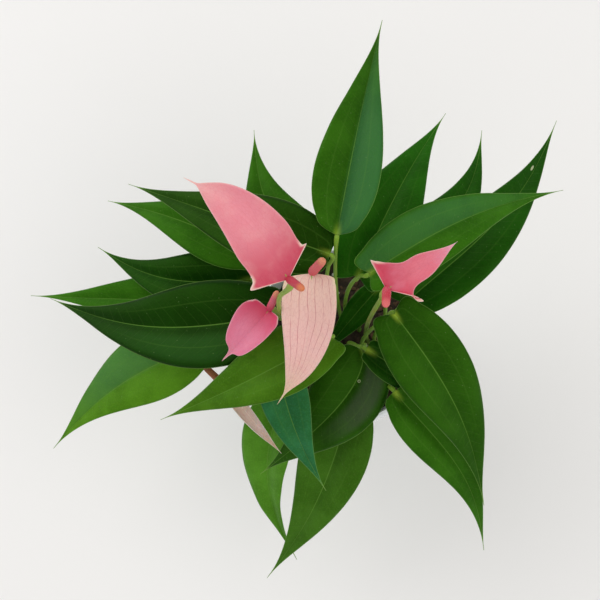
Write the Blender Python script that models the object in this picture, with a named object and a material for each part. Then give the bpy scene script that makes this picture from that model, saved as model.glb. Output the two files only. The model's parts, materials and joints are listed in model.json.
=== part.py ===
"""Potted anthurium: glazed pot, soil, twenty-one stalked leaves and five flowers.

World frame: origin at the centre of the pot's flat foot, +Z up, metres.
Azimuths are degrees from +X towards +Y, round the pot's axis. Lengths in the tables are millimetres.
"""

import math

import bmesh
import bpy
from mathutils import Vector

MM = 0.001

# Pot and soil
POT_HEIGHT = 116.0
RIM_RADIUS = 65.0
RIM_BAND_HEIGHT = 15.0
RIM_BAND_STEP = 2.2
RIM_ROUND = 1.6
FOOT_RADIUS = 46.0
FOOT_ROUND = 1.8
POT_WALL = 4.5
POT_FLOOR = 6.0
POT_SIDES = 56
SOIL_DROP = 16.0
FIT_GAP = 0.3

# Stalks of leaves and flowers
STALK_STEPS = 8
STALK_ROUNDING = 2
SHARP_ANGLE = 40

# Leaves
BLADE_THICKNESS = 1.6
THICKNESS_RUNOUT = 1.15
STEEPEST_EDGE = 0.45
LEAF_SCALE = 1.0
WIDTH_SCALE = 1.0
PETIOLE_RADIUS = 1.45
PETIOLE_TIP_RADIUS = 1.15
JOINT_DROP = 1.9
JOINT_SETBACK = 0.8
LOBE_END = 0.35
OUTLINE_RISE = 0.6
OUTLINE_FALL = 1.9
STATIONS = (0.0, 0.03, 0.08, 0.15, 0.23, 0.32, 0.42, 0.52, 0.62, 0.72, 0.81, 0.89, 0.95, 1.0)

# Flowers
SPATHE_THICKNESS = 1.3
TAIL_WIDTH = 0.35
PEDUNCLE_RADIUS = 1.6
PEDUNCLE_TIP_RADIUS = 1.3
SPADIX_SIDES = 12
SPADIX_RINGS = 9
SPADIX_TAPER = 0.25
SPADIX_LIFT = 1.7

# Colour, roughness
GLAZE = ((0.86, 0.88, 0.90), 0.22)
EARTH = ((0.035, 0.025, 0.018), 0.95)
STALK = ((0.20, 0.33, 0.06), 0.45)

# Each leaf: root on the soil (azimuth, distance from the axis), joint where the stalk meets the
# blade (azimuth, distance from the axis, height above the soil), bow of the stalk, then the blade:
# heading, length, pitch (tip up is positive), arch, sway to the left and where it peaks in percent
# of the length, width, lobes behind the joint in percent of the length, fold and roll.
LEAVES = {
    "01": dict(root=(77, 9), joint=(75, 41, 188), bow=0, heading=79, length=145, pitch=-9, arch=9,
               sway=0, peak=50, width=44, lobe=1, fold=24, roll=0, colour=(0.075, 0.20, 0.055)),
    "02": dict(root=(76, 18), joint=(49, 31, 138), bow=0, heading=63, length=127, pitch=-12, arch=9,
               sway=2, peak=50, width=48, lobe=10, fold=12, roll=0, colour=(0.02, 0.11, 0.03)),
    "03": dict(root=(10, 33), joint=(32, 45, 102), bow=0, heading=60, length=130, pitch=-14, arch=8,
               sway=-14, peak=56, width=40, lobe=8, fold=12, roll=0, colour=(0.02, 0.10, 0.04)),
    "04": dict(root=(70, 13), joint=(33, 35, 172), bow=9, heading=26, length=142, pitch=-19, arch=9,
               sway=6, peak=50, width=41, lobe=8, fold=17, roll=0, colour=(0.03, 0.13, 0.04)),
    "05": dict(root=(-8, 24), joint=(9, 50, 120), bow=0, heading=52, length=174, pitch=-17, arch=8,
               sway=-13, peak=54, width=46, lobe=7, fold=12, roll=0, colour=(0.03, 0.13, 0.03)),
    "06": dict(root=(-28, 17), joint=(-3, 43, 145), bow=-2, heading=-65, length=147, pitch=-28, arch=10,
               sway=10, peak=50, width=48, lobe=8, fold=12, roll=0, colour=(0.04, 0.15, 0.04)),
    "07": dict(root=(-60, 22), joint=(-49, 63, 109), bow=0, heading=-61, length=131, pitch=-27, arch=9,
               sway=12, peak=55, width=34, lobe=3, fold=12, roll=0, colour=(0.04, 0.15, 0.04)),
    "08": dict(root=(-48, 22), joint=(-41, 32, 115), bow=9, heading=-31, length=92, pitch=-28, arch=4,
               sway=0, peak=50, width=24, lobe=5, fold=10, roll=0, colour=(0.02, 0.10, 0.03)),
    "09": dict(root=(-50, 9), joint=(-45, 28, 105), bow=0, heading=-132, length=116, pitch=-23, arch=8,
               sway=12, peak=30, width=48, lobe=9, fold=8, roll=-6, colour=(0.05, 0.15, 0.05)),
    "10": dict(root=(25, 14), joint=(39, 41, 80), bow=0, heading=-132, length=70, pitch=-14, arch=4,
               sway=0, peak=50, width=19, lobe=4, fold=8, roll=0, colour=(0.02, 0.09, 0.04)),
    "11": dict(root=(-150, 10), joint=(-77, 18, 156), bow=-9, heading=-157, length=128, pitch=-17, arch=6,
               sway=3, peak=50, width=42, lobe=9, fold=8, roll=0, colour=(0.17, 0.33, 0.03)),
    "12": dict(root=(-138, 16), joint=(-141, 43, 128), bow=0, heading=-71, length=98, pitch=-26, arch=6,
               sway=-4, peak=50, width=32, lobe=6, fold=12, roll=0, colour=(0.04, 0.20, 0.11)),
    "13": dict(root=(-120, 22), joint=(-128, 58, 65), bow=0, heading=-88, length=126, pitch=-27, arch=8,
               sway=-13, peak=50, width=40, lobe=6, fold=16, roll=25, colour=(0.11, 0.22, 0.05)),
    "14": dict(root=(-90, 21), joint=(-77, 51, 70), bow=0, heading=-118, length=150, pitch=-24, arch=8,
               sway=9, peak=50, width=48, lobe=6, fold=12, roll=0, colour=(0.12, 0.22, 0.04)),
    "15": dict(root=(178, 15), joint=(-177, 36, 136), bow=0, heading=173, length=156, pitch=-12, arch=10,
               sway=14, peak=50, width=57, lobe=11, fold=10, roll=0, colour=(0.03, 0.14, 0.05)),
    "16": dict(root=(-165, 21), joint=(-173, 93, 65), bow=0, heading=-148, length=134, pitch=-14, arch=8,
               sway=-8, peak=50, width=50, lobe=7, fold=12, roll=0, colour=(0.07, 0.20, 0.03)),
    "17": dict(root=(176, 22), joint=(165, 65, 80), bow=0, heading=177, length=151, pitch=-6, arch=8,
               sway=2, peak=50, width=40, lobe=6, fold=10, roll=0, colour=(0.03, 0.13, 0.04)),
    "18": dict(root=(154, 21), joint=(153, 59, 108), bow=0, heading=166, length=111, pitch=-9, arch=7,
               sway=12, peak=50, width=40, lobe=9, fold=10, roll=0, colour=(0.02, 0.09, 0.03)),
    "19": dict(root=(134, 21), joint=(139, 62, 122), bow=0, heading=158, length=112, pitch=-9, arch=8,
               sway=-3, peak=50, width=38, lobe=6, fold=10, roll=0, colour=(0.03, 0.12, 0.04)),
    "20": dict(root=(135, 10), joint=(80, 31, 176), bow=0, heading=158, length=145, pitch=-12, arch=9,
               sway=1, peak=50, width=44, lobe=4, fold=12, roll=0, colour=(0.03, 0.14, 0.05)),
    "21": dict(root=(112, 22), joint=(105, 27, 130), bow=0, heading=113, length=106, pitch=-4, arch=5,
               sway=11, peak=50, width=44, lobe=5, fold=10, roll=0, colour=(0.03, 0.13, 0.04)),
}

# Each flower: stalk as for a leaf, then the spathe as a blade with a cup, how far its left lobe lies
# behind its right one (skew), its outline's rise and fall and its thin tail in percent of the
# length, then the spadix: azimuth it leans to, lean from upright, length and radius.
FLOWERS = {
    "1": dict(root=(172, 10), joint=(157, 14, 238), bow=33, heading=135, length=88, pitch=-6, arch=8,
              sway=-7, peak=50, width=39, lobe=-6, skew=3, fold=4, cup=22, roll=0, rise=0.16,
              fall=0.68, tail=14,
              colour=(0.75, 0.17, 0.22),
              lean_to=-40, lean=35, spadix=24, spadix_radius=2.7, spadix_colour=(0.60, 0.06, 0.10)),
    "2": dict(root=(180, 3), joint=(104, 17, 191), bow=3, heading=-108, length=86, pitch=-23, arch=9,
              sway=9, peak=50, width=36, lobe=1, fold=6, cup=18, roll=0, rise=0.30, fall=1.0, tail=12,
              colour=(0.78, 0.48, 0.42),
              lean_to=35, lean=40, spadix=16, spadix_radius=3.2, spadix_colour=(0.68, 0.14, 0.14)),
    "3": dict(root=(-160, 17), joint=(-178, 33, 162), bow=0, heading=-137, length=46, pitch=-20, arch=8,
              sway=2, peak=50, width=37, lobe=2, fold=8, cup=-50, roll=0, rise=0.45, fall=0.8, tail=25,
              colour=(0.70, 0.11, 0.24),
              lean_to=50, lean=35, spadix=20, spadix_radius=2.6, spadix_colour=(0.62, 0.10, 0.10)),
    "4": dict(root=(-8, 19), joint=(7, 41, 200), bow=-6, heading=35, length=51, pitch=-9, arch=6,
              sway=-2, peak=50, width=33, lobe=-16, skew=14, fold=10, cup=25, roll=0, rise=0.15,
              fall=1.5, tail=0,
              colour=(0.74, 0.15, 0.27),
              lean_to=-90, lean=30, spadix=27, spadix_radius=3.0, spadix_colour=(0.66, 0.10, 0.12)),
    "5": dict(root=(-152, 22), joint=(-148, 81, 105), bow=0, heading=-52, length=62, pitch=-29, arch=5,
              sway=0, peak=50, width=24, lobe=4, fold=38, cup=30, roll=0, rise=0.50, fall=1.5, tail=0,
              colour=(0.80, 0.70, 0.64),
              lean_to=135, lean=60, spadix=20, spadix_radius=2.2, spadix_colour=(0.28, 0.10, 0.02)),
}


def polar(azimuth, distance, height):
    angle = math.radians(azimuth)
    return Vector((distance * math.cos(angle), distance * math.sin(angle), height))


def soil_height():
    return POT_HEIGHT - SOIL_DROP


def wall_radius(height):
    """Outer radius of the plain wall below the rim band."""
    top = POT_HEIGHT - RIM_BAND_HEIGHT
    return FOOT_RADIUS + (RIM_RADIUS - RIM_BAND_STEP - FOOT_RADIUS) * height / top


def inner_radius(height):
    return wall_radius(height) - POT_WALL


def lathe(profile, sides):
    """A closed solid spun from (radius, height) points that start and end on the axis."""
    mesh = bmesh.new()
    corners = [mesh.verts.new((radius * MM, 0, height * MM)) for radius, height in profile]
    edges = [mesh.edges.new(pair) for pair in zip(corners, corners[1:])]
    bmesh.ops.spin(
        mesh,
        geom=corners + edges,
        axis=(0, 0, 1),
        cent=(0, 0, 0),
        steps=sides,
        angle=2 * math.pi,
        use_merge=True,
    )
    bmesh.ops.remove_doubles(mesh, verts=mesh.verts, dist=0.01 * MM)
    return mesh_data(mesh)


def mesh_data(mesh):
    """The bmesh as mesh data with its faces outward, round sides smooth and edges sharp."""
    bmesh.ops.recalc_face_normals(mesh, faces=mesh.faces)
    made = bpy.data.meshes.new("shape")
    mesh.to_mesh(made)
    mesh.free()
    made.shade_smooth()
    made.set_sharp_from_angle(angle=math.radians(SHARP_ANGLE))
    return made


def pot_profile():
    band = POT_HEIGHT - RIM_BAND_HEIGHT
    return [
        (0, 0),
        (FOOT_RADIUS - FOOT_ROUND, 0),
        (wall_radius(FOOT_ROUND), FOOT_ROUND),
        (wall_radius(band - RIM_BAND_STEP), band - RIM_BAND_STEP),
        (RIM_RADIUS - RIM_ROUND / 2, band),
        (RIM_RADIUS, band + RIM_ROUND),
        (RIM_RADIUS, POT_HEIGHT - 2 * RIM_ROUND),
        (RIM_RADIUS - RIM_ROUND, POT_HEIGHT - RIM_ROUND / 2),
        (RIM_RADIUS - 2 * RIM_ROUND, POT_HEIGHT),
        (inner_radius(POT_HEIGHT) + RIM_ROUND / 2, POT_HEIGHT - RIM_ROUND / 2),
        (inner_radius(POT_HEIGHT), POT_HEIGHT - 2 * RIM_ROUND),
        (inner_radius(POT_FLOOR + 2 * FOOT_ROUND), POT_FLOOR + 2 * FOOT_ROUND),
        (inner_radius(POT_FLOOR) - 2 * FOOT_ROUND, POT_FLOOR),
        (0, POT_FLOOR),
    ]


def soil_profile():
    floor = POT_FLOOR + FIT_GAP
    bend = POT_FLOOR + 2 * FOOT_ROUND
    top = soil_height()
    return [
        (0, floor),
        (inner_radius(POT_FLOOR) - 2 * FOOT_ROUND - FIT_GAP, floor),
        (inner_radius(bend) - 2 * FIT_GAP, bend + FIT_GAP),
        (inner_radius(top) - 2 * FIT_GAP, top),
        (0, top),
    ]


def stalk(run, rise, bow, root_radius, tip_radius):
    """A tapering stalk in its own frame: foot at the origin, leaning to +X, bowed to +Y."""
    curve = bpy.data.curves.new("shape", "CURVE")
    curve.dimensions = "3D"
    curve.resolution_u = STALK_STEPS
    curve.bevel_depth = root_radius * MM
    curve.bevel_resolution = STALK_ROUNDING
    curve.use_fill_caps = True
    spline = curve.splines.new("BEZIER")
    spline.bezier_points.add(1)
    foot, end = spline.bezier_points
    for point in (foot, end):
        point.handle_left_type = "FREE"
        point.handle_right_type = "FREE"
    foot.co = (0, 0, 0)
    foot.handle_left = (0, 0, -0.1 * rise * MM)
    foot.handle_right = (0, 0, 0.4 * rise * MM)
    end.co = (run * MM, 0, rise * MM)
    end.handle_left = (0.45 * run * MM, bow * MM, 0.85 * rise * MM)
    end.handle_right = (1.2 * run * MM, -0.3 * bow * MM, 1.05 * rise * MM)
    end.radius = tip_radius / root_radius
    return curve


def outline(share, rise, fall, tail):
    """Half-width at a share of the length, as a part of the greatest half-width."""
    peak = rise / (rise + fall)
    place = min(1, share / (1 - tail))
    body = (place / peak) ** rise * ((1 - place) / (1 - peak)) ** fall
    return max(body, TAIL_WIDTH * (1 - share)) if tail else body


def bend(share, peak):
    """A bow of height 1 over the length, highest at the given share, and its slope."""
    power = math.log(0.5) / math.log(peak)
    phase = math.pi * share ** power
    slope = math.pi * power * share ** (power - 1) if share else 0
    return math.sin(phase), math.cos(phase) * slope


def blade_section(spec, share, columns, rise, fall):
    """Centre and the points across one station of a blade, from its right to its left margin."""
    length, sway, arch = (spec[size] * LEAF_SCALE for size in ("length", "sway", "arch"))
    lift, climb = bend(share, 0.5)
    drift, turn_rate = bend(share, spec["peak"] / 100)
    centre = Vector((length * share, sway * drift, arch * lift))
    along = Vector((length, sway * turn_rate, arch * climb)).normalized()
    side = Vector((-along.y, along.x, 0)).normalized()
    up = along.cross(side)
    tail = spec.get("tail", 0) / 100
    half = spec["width"] * WIDTH_SCALE / 2 * outline(share, rise, fall, tail)
    ease = max(0, 1 - share / LOBE_END) ** 2 * length / 100
    lobe = spec["lobe"] * ease
    skew = spec.get("skew", 0) * ease
    points = []
    for column in columns:
        tilt = math.radians(spec["fold"] + spec.get("cup", 0) * abs(column))
        tilt = math.copysign(tilt, column)
        step = side * math.cos(tilt) * column + up * math.sin(tilt) * column
        points.append(centre + step * half - along * (lobe * abs(column) + skew * column))
    return centre, up, points


def blade(spec, columns, thickness, rise, fall):
    """A thin closed solid along +X from the joint at the origin, thickest at its midrib."""
    mesh = bmesh.new()
    joint = mesh.verts.new((0, 0, 0))
    rows = []
    for share in STATIONS[1:-1]:
        up, across = blade_section(spec, share, columns, rise, fall)[1:]
        top = [mesh.verts.new(across[0] * MM)]
        under = [top[0]]
        reach = (across[-1] - across[0]).length / 2
        belly = min(thickness / 2 * (THICKNESS_RUNOUT - share), STEEPEST_EDGE * reach)
        for column, point in zip(columns[1:-1], across[1:-1]):
            lift = up * belly * (1 - abs(column))
            top.append(mesh.verts.new((point + lift) * MM))
            under.append(mesh.verts.new((point - lift) * MM))
        margin = mesh.verts.new(across[-1] * MM)
        rows.append((top + [margin], under + [margin]))
    tip = mesh.verts.new(blade_section(spec, 1.0, columns, rise, fall)[0] * MM)
    for side in (0, 1):
        skin = [row[side] for row in rows]
        for column in range(len(columns) - 1):
            mesh.faces.new((joint, skin[0][column], skin[0][column + 1]))
            mesh.faces.new((tip, skin[-1][column], skin[-1][column + 1]))
            for near, far in zip(skin, skin[1:]):
                add_strip(mesh, near, far, column, column < len(columns) // 2)
    return mesh_data(mesh)


def add_strip(mesh, near, far, column, right_half):
    """Two triangles between neighbouring stations, cut from the midrib out and forwards."""
    a, b = near[column], near[column + 1]
    c, d = far[column + 1], far[column]
    if right_half:
        mesh.faces.new((a, c, b))
        mesh.faces.new((a, d, c))
    else:
        mesh.faces.new((a, d, b))
        mesh.faces.new((b, d, c))


def spadix_solid(length, radius):
    """A blunt spike along +Z, narrow at its foot and standing on the origin."""
    mesh = bmesh.new()
    bmesh.ops.create_uvsphere(mesh, u_segments=SPADIX_SIDES, v_segments=SPADIX_RINGS, radius=1)
    for point in mesh.verts:
        share = (point.co.z + 1) / 2
        fill = 1 - SPADIX_TAPER * share
        point.co.x *= radius * fill * MM
        point.co.y *= radius * fill * MM
        point.co.z = length * share * MM
    return mesh_data(mesh)


def material(name, colour, roughness):
    made = bpy.data.materials.new(name)
    made.use_nodes = True
    shader = made.node_tree.nodes["Principled BSDF"]
    shader.inputs["Base Color"].default_value = (*colour, 1)
    shader.inputs["Roughness"].default_value = roughness
    shader.inputs["Metallic"].default_value = 0
    made.diffuse_color = (*colour, 1)
    return made


def add(name, shape, look, parent=None, location=(0, 0, 0), turn=(0, 0, 0)):
    """One object. location is in millimetres and turn in degrees, both in the parent's frame."""
    shape.name = name
    shape.materials.append(material(name + "_look", *look))
    made = bpy.data.objects.new(name, shape)
    bpy.context.scene.collection.objects.link(made)
    made.parent = parent
    made.location = [value * MM for value in location]
    made.rotation_euler = [math.radians(value) for value in turn]
    return made


def add_stalk(name, spec, soil, radii):
    """The stalk's object, where its blade goes in the stalk's frame, and the stalk's azimuth."""
    root = polar(*spec["root"], soil_height() + FIT_GAP)
    azimuth, reach, height = spec["joint"]
    joint = polar(azimuth, reach * LEAF_SCALE, soil_height() + height * LEAF_SCALE)
    end = joint - polar(spec["heading"], JOINT_SETBACK, JOINT_DROP)
    lean = end - root
    facing = math.degrees(math.atan2(lean.y, lean.x))
    run = math.hypot(lean.x, lean.y)
    bow = spec["bow"] * LEAF_SCALE
    made = add(name, stalk(run, lean.z, bow, *radii), STALK, soil, root, (0, 0, facing))
    back = polar(spec["heading"] - facing, JOINT_SETBACK, JOINT_DROP)
    return made, Vector((run, 0, lean.z)) + back, facing


def add_leaf(number, spec, soil):
    radii = (PETIOLE_RADIUS, PETIOLE_TIP_RADIUS)
    holder, place, facing = add_stalk("petiole_" + number, spec, soil, radii)
    solid = blade(spec, (-1, 0, 1), BLADE_THICKNESS, OUTLINE_RISE, OUTLINE_FALL)
    turn = (spec["roll"], -spec["pitch"], spec["heading"] - facing)
    add("blade_" + number, solid, (spec["colour"], 0.3), holder, place, turn)


def add_flower(number, spec, soil):
    radii = (PEDUNCLE_RADIUS, PEDUNCLE_TIP_RADIUS)
    holder, place, facing = add_stalk("peduncle_" + number, spec, soil, radii)
    solid = blade(spec, (-1, -0.5, 0, 0.5, 1), SPATHE_THICKNESS, spec["rise"], spec["fall"])
    turn = (spec["roll"], -spec["pitch"], spec["heading"] - facing)
    add("spathe_" + number, solid, (spec["colour"], 0.35), holder, place, turn)
    solid = spadix_solid(spec["spadix"], spec["spadix_radius"])
    place = place + Vector((0, 0, SPADIX_LIFT))
    turn = (0, spec["lean"], spec["lean_to"] - facing)
    add("spadix_" + number, solid, (spec["spadix_colour"], 0.5), holder, place, turn)


def build():
    for old in list(bpy.data.objects):
        bpy.data.objects.remove(old)
    pot = add("pot", lathe(pot_profile(), POT_SIDES), GLAZE)
    soil = add("soil", lathe(soil_profile(), POT_SIDES), EARTH, pot)
    for number, spec in LEAVES.items():
        add_leaf(number, spec, soil)
    for number, spec in FLOWERS.items():
        add_flower(number, spec, soil)


build()
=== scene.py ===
"""Looks of the potted anthurium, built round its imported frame. Metres, +Z up."""

import json
import math

import bmesh
import bpy
import numpy as np
from mathutils import Matrix, Vector, noise


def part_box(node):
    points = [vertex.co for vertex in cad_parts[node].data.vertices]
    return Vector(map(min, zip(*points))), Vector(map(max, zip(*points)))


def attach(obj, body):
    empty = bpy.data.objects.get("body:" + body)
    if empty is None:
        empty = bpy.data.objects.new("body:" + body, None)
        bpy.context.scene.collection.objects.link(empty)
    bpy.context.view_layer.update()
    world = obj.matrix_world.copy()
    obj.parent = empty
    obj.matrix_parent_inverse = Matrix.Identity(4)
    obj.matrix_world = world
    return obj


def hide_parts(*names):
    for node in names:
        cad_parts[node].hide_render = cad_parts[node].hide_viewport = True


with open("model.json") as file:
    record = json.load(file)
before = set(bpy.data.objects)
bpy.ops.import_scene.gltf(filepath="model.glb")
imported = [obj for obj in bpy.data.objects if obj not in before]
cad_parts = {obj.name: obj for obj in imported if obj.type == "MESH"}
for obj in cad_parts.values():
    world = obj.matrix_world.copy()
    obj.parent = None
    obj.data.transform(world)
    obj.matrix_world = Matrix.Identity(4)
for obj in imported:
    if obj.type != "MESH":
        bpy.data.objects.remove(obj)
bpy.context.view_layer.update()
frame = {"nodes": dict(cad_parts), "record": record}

MM = 0.001

# A blade's grid: rows along it, columns on each side of the midrib and how they crowd towards it.
BLADE_ROWS = 84
BLADE_HALF_COLUMNS = 12
COLUMN_CROWDING = 1.45

# Lateral veins in mm: their spacing along the midrib and how they sweep towards the tip.
VEIN_SPACING = 7.5
VEIN_START_SLOPE = 0.5
VEIN_CURVE = 0.024

# How far each half of a blade bulges, as a share of its half width, and how high its margin waves.
LEAF_CAMBER = 0.10
SPATHE_CAMBER = 0.04
BOWL_CAMBER = 0.12
LEAF_RIPPLE = 1.6 * MM
SPATHE_RIPPLE = 0.8 * MM
RIPPLE_LENGTH = 22 * MM
SWELL_LENGTH = 60 * MM

LEAF_THICKNESS = 0.42
LEAF_EDGE_THINNING = 0.20
QUILT_HEIGHT = 0.085
SPATHE_THICKNESS = 0.62
SPATHE_EDGE_THINNING = 0.30
SPATHE_RELIEF = 0.08

# How far past the joint a stalk's last points run along the midrib, in mm.
LEAF_MERGE = (1.5, 5, 9)
SPATHE_MERGE = (0.8, 2.5, 4)
MERGE_DEPTHS = (0.45, 0.35, 0.25)
MERGE_RADII = (0.9, 0.75, 0.4)
STALK_SIDES = 14
ROOTED_DEPTH = 7 * MM

SPADIX_ROWS = 92
SPADIX_SIDES = 72
KNOB_PITCH = 1.15 * MM
KNOBS_ROUND = 13
KNOB_HEIGHT = 0.15

POT_SIDES = 144
POT_ROUNDING = 1.6 * MM
POT_ROUNDING_STEPS = 6

SOIL_RINGS = 46
SOIL_SIDES = 120
SOIL_DEPTH = 9 * MM
SOIL_LUMP = 1.6 * MM
SOIL_LUMP_SCALE = 90
CRUMBS = 620
BARK_SHARE = 0.6
GRAIN_SHARE = 0.965

PALE_VEIN = (0.13, 0.27, 0.045)
PALE_VEIN_UNDER = (0.20, 0.36, 0.12)
JOINT_YELLOW = (0.36, 0.50, 0.05)
# Painted edge highlight laid along each leaf's margin.
EDGE_HIGHLIGHT_GREEN = (0.20, 0.36, 0.08)
TIP_GREEN = (0.20, 0.30, 0.06)
MARK_COLOUR = (0.52, 0.55, 0.34)
SPECK_COLOUR = (0.20, 0.30, 0.12)
UNDER_HAZE = (0.16, 0.30, 0.12)

CAMERA_PLACE = (0.07130, -0.11712, 1.10602)
CAMERA_TARGET = (-0.02033, 0.013745, 0.20)
CAMERA_SENSOR = 36
CAMERA_LENS = 84
FLOOR_HALF_SIZE = 14.0

# Deep and bright green of each of the record's leaf slots.
GREENS = {
    "leaf_green": ((0.014, 0.065, 0.002), (0.034, 0.130, 0.006)),
    "leaf_dark": ((0.004, 0.034, 0.001), (0.010, 0.068, 0.003)),
    "leaf_bright": ((0.038, 0.110, 0.004), (0.085, 0.220, 0.012)),
    # The teal green is painted sheen: a bluish reflection laid into the leaves' own colour.
    "leaf_teal": ((0.012, 0.085, 0.025), (0.030, 0.170, 0.070)),
    "leaf_olive": ((0.035, 0.110, 0.006), (0.080, 0.220, 0.020)),
}

# How much lighter each leaf is than its slot's green, and the yellow at its joint.
LEAF_LOOKS = {
    "01": (1.0, 0.6), "02": (1.8, 0.5), "03": (1.5, 0.4), "04": (1.3, 0.5), "05": (1.2, 0.4),
    "06": (0.8, 1.0), "07": (1.1, 1.0), "08": (0.8, 1.0), "09": (0.7, 0.3), "10": (1.6, 1.0),
    "11": (0.9, 0.5), "12": (1.1, 0.3), "13": (1.4, 0.4), "14": (0.8, 0.5), "15": (0.5, 0.4),
    "16": (1.3, 0.4), "17": (1.4, 0.4), "18": (0.8, 0.4), "19": (1.2, 0.4), "20": (0.4, 0.5),
    "21": (1.1, 0.4),
}

# Spathe colour at its base, middle and tip, then its veins' colour, strength and number, and its pale
# margin colour, which tints its ears and underside and is painted along its rim as edge highlight.
SPATHE_LOOKS = {
    "1": ((0.56, 0.06, 0.11), (0.74, 0.25, 0.30), (0.80, 0.44, 0.42), (0.62, 0.12, 0.17), 0.22, 11,
          (0.88, 0.72, 0.60)),
    "2": ((0.80, 0.56, 0.47), (0.80, 0.50, 0.46), (0.74, 0.55, 0.38), (0.50, 0.14, 0.16), 0.85, 7,
          (0.80, 0.66, 0.42)),
    "3": ((0.70, 0.08, 0.17), (0.76, 0.24, 0.36), (0.80, 0.34, 0.42), (0.62, 0.10, 0.20), 0.20, 11,
          (0.84, 0.60, 0.58)),
    "4": ((0.60, 0.05, 0.10), (0.72, 0.18, 0.24), (0.78, 0.36, 0.48), (0.58, 0.08, 0.14), 0.22, 11,
          (0.86, 0.70, 0.58)),
    "5": ((0.80, 0.66, 0.52), (0.84, 0.74, 0.68), (0.80, 0.66, 0.50), (0.66, 0.30, 0.32), 0.60, 9,
          (0.86, 0.80, 0.66)),
}

# Each spathe's pointed ears: how far the right and left one reach, their place and spread along it,
# then how much narrower it is behind them, and the place and spread of that waist.
EARS = {
    "1": (1.6, 3.0, 0.050, 0.030, 0.07, 0.16, 0.08),
    "2": (1.0, 0.8, 0.080, 0.040, 0.00, 0.20, 0.10),
    "3": (0.0, 0.8, 0.120, 0.060, 0.14, 0.45, 0.25),
    "4": (4.6, 3.4, 0.060, 0.050, 0.28, 0.30, 0.14),
    "5": (0.0, 0.0, 0.100, 0.050, 0.00, 0.20, 0.10),
}

# Painted sheen on a leaf, a paler, bluer or greyer strip standing for the reflection on one half: its
# place and half width across, how far along, colour, strength.
SHEEN_STRIPS = {
    "01": (-0.50, 0.50, 1.0, (0.035, 0.135, 0.050), 0.65),
    "04": (0.45, 0.45, 1.0, (0.040, 0.140, 0.060), 0.40),
    "09": (0.50, 0.30, 0.6, (0.070, 0.078, 0.058), 0.55),
    "15": (0.55, 0.30, 0.8, (0.016, 0.062, 0.014), 0.50),
    "16": (-0.50, 0.50, 1.0, (0.060, 0.190, 0.085), 0.45),
}

# Healed marks on a leaf: far from the joint and to its left in mm, half length and half width in mm,
# and whether it is only a ring.
MARKS = {
    "05": (131.0, 1.8, 2.6, 0.8, False),
    "09": (21.0, 2.0, 1.2, 1.2, True),
}

# Spadix colour at its foot, middle and tip, and of the dots on it.
SPADIX_LOOKS = {
    "1": ((0.42, 0.02, 0.05), (0.48, 0.05, 0.08), (0.66, 0.20, 0.07), (0.62, 0.12, 0.14)),
    "2": ((0.62, 0.10, 0.12), (0.66, 0.14, 0.15), (0.74, 0.28, 0.16), (0.50, 0.06, 0.08)),
    "3": ((0.55, 0.05, 0.12), (0.66, 0.14, 0.20), (0.72, 0.28, 0.14), (0.70, 0.18, 0.20)),
    "4": ((0.62, 0.06, 0.12), (0.60, 0.05, 0.08), (0.72, 0.14, 0.14), (0.90, 0.80, 0.74)),
    "5": ((0.36, 0.12, 0.04), (0.30, 0.09, 0.02), (0.22, 0.07, 0.02), (0.48, 0.24, 0.10)),
}

# Spadices whose dots stop half-way up.
LOWER_DOTS_ONLY = {"4"}


# Shapes read from the frame


def welded(node):
    """The CAD node's mesh with its corners joined."""
    mesh = bmesh.new()
    mesh.from_mesh(frame["nodes"][node].data)
    bmesh.ops.remove_doubles(mesh, verts=mesh.verts, dist=1e-6)
    return mesh


def spread(start):
    """A mesh's points in rings of neighbours, outwards from the start points."""
    seen = set(start)
    rings = [list(start)]
    while rings[-1]:
        ring = {e.other_vert(v) for v in rings[-1] for e in v.link_edges} - seen
        seen |= ring
        rings.append(list(ring))
    return rings[:-1]


def stalk_rings(node):
    """Centre and radius of each ring of a CAD stalk, from its foot to its end."""
    mesh = welded(node)
    low = min(v.co.z for v in mesh.verts)
    rings = spread([v for v in mesh.verts if v.co.z < low + 0.02 * MM])
    centres = np.array([np.mean([v.co for v in ring], axis=0) for ring in rings])
    radii = [np.linalg.norm(np.array(ring[0].co) - c) for ring, c in zip(rings, centres)]
    mesh.free()
    return centres, np.array(radii)


def loop_round(ring):
    """The points of one station of a blade in order round it, from one margin."""
    loop = [ring[0]]
    while len(loop) < len(ring):
        ahead = {e.other_vert(loop[-1]) for e in loop[-1].link_edges} & set(ring) - set(loop)
        loop.append(ahead.pop())
    half = len(loop) // 2
    start = max(range(half), key=lambda i: (loop[i].co - loop[i + half].co).length)
    return [v.co.copy() for v in loop[start:] + loop[:start]]


def blade_control(node, near):
    """Joint, rows of points from right to left margin, and tip of a CAD blade joined near a point."""
    mesh = welded(node)
    round_count = 4 if node.startswith("blade") else 8
    half = round_count // 2
    for joint in sorted(mesh.verts, key=lambda v: (v.co - Vector(near)).length):
        rings = spread([joint])
        if {len(ring) for ring in rings[1:-1]} == {round_count} and len(rings[-1]) == 1:
            break
    origin, tip = joint.co.copy(), rings[-1][0].co.copy()
    left = Vector((0, 0, 1)).cross(tip - origin)
    control = []
    for ring in rings[1:-1]:
        loop = loop_round(ring)
        row = [loop[0]] + [(loop[i] + loop[-i]) / 2 for i in range(1, half)] + [loop[half]]
        control.append(row if left.dot(row[0]) < left.dot(row[-1]) else row[::-1])
    mesh.free()
    return np.array(origin), np.array(control), np.array(tip)


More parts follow.
